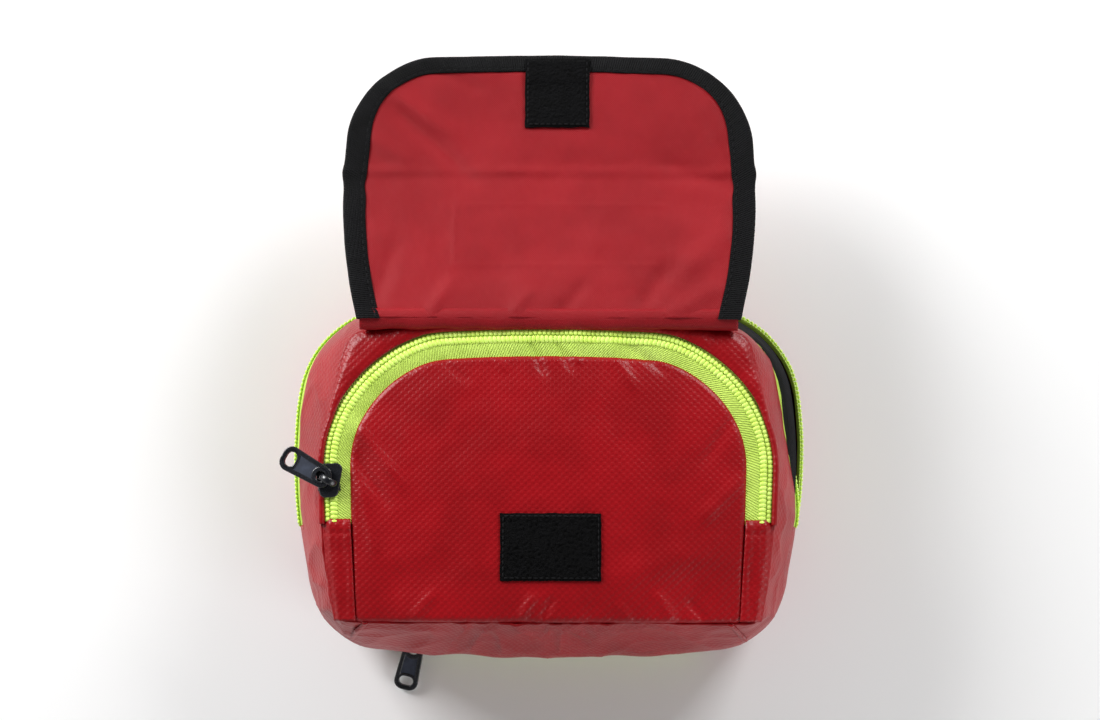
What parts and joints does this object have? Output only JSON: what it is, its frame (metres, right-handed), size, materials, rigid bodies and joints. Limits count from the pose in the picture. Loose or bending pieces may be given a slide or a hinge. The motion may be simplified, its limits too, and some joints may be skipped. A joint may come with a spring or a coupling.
{
  "type": "first aid kit",
  "caption": "Soft first aid bag with zipped main, front and rear pockets, a hook-and-loop flap and dressings, bandages and small aids inside.",
  "frame": {"origin": "centre of the flat back face that the bag rests on", "axes": "+Z out of the front face, +Y towards the bag's top and the open flap, +X to the right as seen from the front"},
  "size_m": [0.1921, 0.2491, 0.0733],
  "materials": {
    "coated_fabric_red": "raised dot emboss, semi-gloss coating",
    "lining_red": "smooth satin weave",
    "lining_black": "smooth weave",
    "foam_board": "closed-cell foam in black cloth",
    "zip_tape_neon": "ribbed tape",
    "zip_coil_neon": "coil, satin",
    "binding_black": "ribbed tape",
    "hook_black": "hook face",
    "loop_black": "fuzzy loop face",
    "black_metal": "black, semi-gloss",
    "gauze_white": "crepe weave",
    "sachet_white": "coated paper",
    "carton_white": "matt card",
    "tape_white": "cloth tape",
    "core_white": "matt",
    "foil_silver": "metallised film",
    "glove_blue": "folded nitrile",
    "steel": "brushed"
  },
  "bodies": {
    "rear_compartment": {"back_panel": "coated_fabric_red", "back_board": "foam_board", "rear_gusset": "coated_fabric_red", "main_lining": "lining_black", "main_zip_tape_rear": "zip_tape_neon", "main_zip_coil_rear": "zip_coil_neon", "rear_zip_tapes": "zip_tape_neon", "rear_zip_coils": "zip_coil_neon", "bandage_rolls": "gauze_white", "wound_dressings": "sachet_white", "triangular_bandage": "gauze_white", "adhesive_tape": "tape_white", "tape_core": "core_white", "foil_blanket": "foil_silver", "tweezers": "steel"},
    "front_compartment": {"divider_panel": "lining_black", "front_gusset": "coated_fabric_red", "bottom_gusset": "coated_fabric_red", "front_frame": "coated_fabric_red", "zip_end_strips": "coated_fabric_red", "lower_front_panel": "coated_fabric_red", "loop_patch": "loop_black", "front_zip_tape_outer": "zip_tape_neon", "front_zip_coil_outer": "zip_coil_neon", "front_zip_ends": "zip_tape_neon", "main_zip_tape_front": "zip_tape_neon", "main_zip_coil_front": "zip_coil_neon", "flap_root": "coated_fabric_red", "plaster_pack": "carton_white", "glove_pack": "glove_blue", "antiseptic_wipes": "sachet_white"},
    "front_panel": {"upper_front_panel": "coated_fabric_red", "front_zip_tape_inner": "zip_tape_neon", "front_zip_coil_inner": "zip_coil_neon"},
    "flap": {"flap_outer": "coated_fabric_red", "flap_lining": "lining_red", "flap_binding": "binding_black", "hook_patch": "hook_black"},
    "front_slider": {"front_slider": "black_metal"},
    "front_puller": {"front_puller": "black_metal"},
    "main_slider": {"main_slider": "black_metal"},
    "main_puller": {"main_puller": "black_metal"},
    "rear_slider": {"rear_slider": "black_metal"},
    "rear_puller": {"rear_puller": "black_metal"}
  },
  "joints": [
    {"name": "main_opening", "type": "hinge", "parent": "rear_compartment", "child": "front_compartment", "pos_m": [0, -0.06565, 0.03], "axis": [1, 0, 0], "range_deg": [0, 30]},
    {"name": "front_panel_fold", "type": "hinge", "parent": "front_compartment", "child": "front_panel", "pos_m": [0, -0.015, 0.071], "axis": [-1, 0, 0], "range_deg": [-75, 0]},
    {"name": "flap_hinge", "type": "hinge", "parent": "front_compartment", "child": "flap", "pos_m": [0, 0.0555, 0.07], "axis": [1, 0, 0], "range_deg": [-30, 187.3]},
    {"name": "front_slider_run", "type": "slide", "parent": "front_panel", "child": "front_slider", "axis": [-0.0298, 0.9995, -0.0033], "range_m": [-0.003, 0.01]},
    {"name": "front_puller_swing", "type": "hinge", "parent": "front_slider", "child": "front_puller", "pos_m": [-0.07839, -0.005, 0.07052], "axis": [-0.4862, -0.8722, -0.0532], "range_deg": [-150, 1.5]},
    {"name": "main_slider_run", "type": "slide", "parent": "rear_compartment", "child": "main_slider", "axis": [1, 0, 0], "range_m": [-0.035, 0.035]},
    {"name": "main_puller_swing", "type": "hinge", "parent": "main_slider", "child": "main_puller", "pos_m": [0, 0.0693, 0.03], "axis": [0, 0, -1], "range_deg": [0, 180]},
    {"name": "rear_slider_run", "type": "slide", "parent": "rear_compartment", "child": "rear_slider", "axis": [1, 0, 0], "range_m": [-0.003, 0.105]},
    {"name": "rear_puller_swing", "type": "hinge", "parent": "rear_slider", "child": "rear_puller", "pos_m": [-0.053, -0.06679, 0.00743], "axis": [0.9703, -0.2419, 0], "range_deg": [-80, 50]}
  ]
}
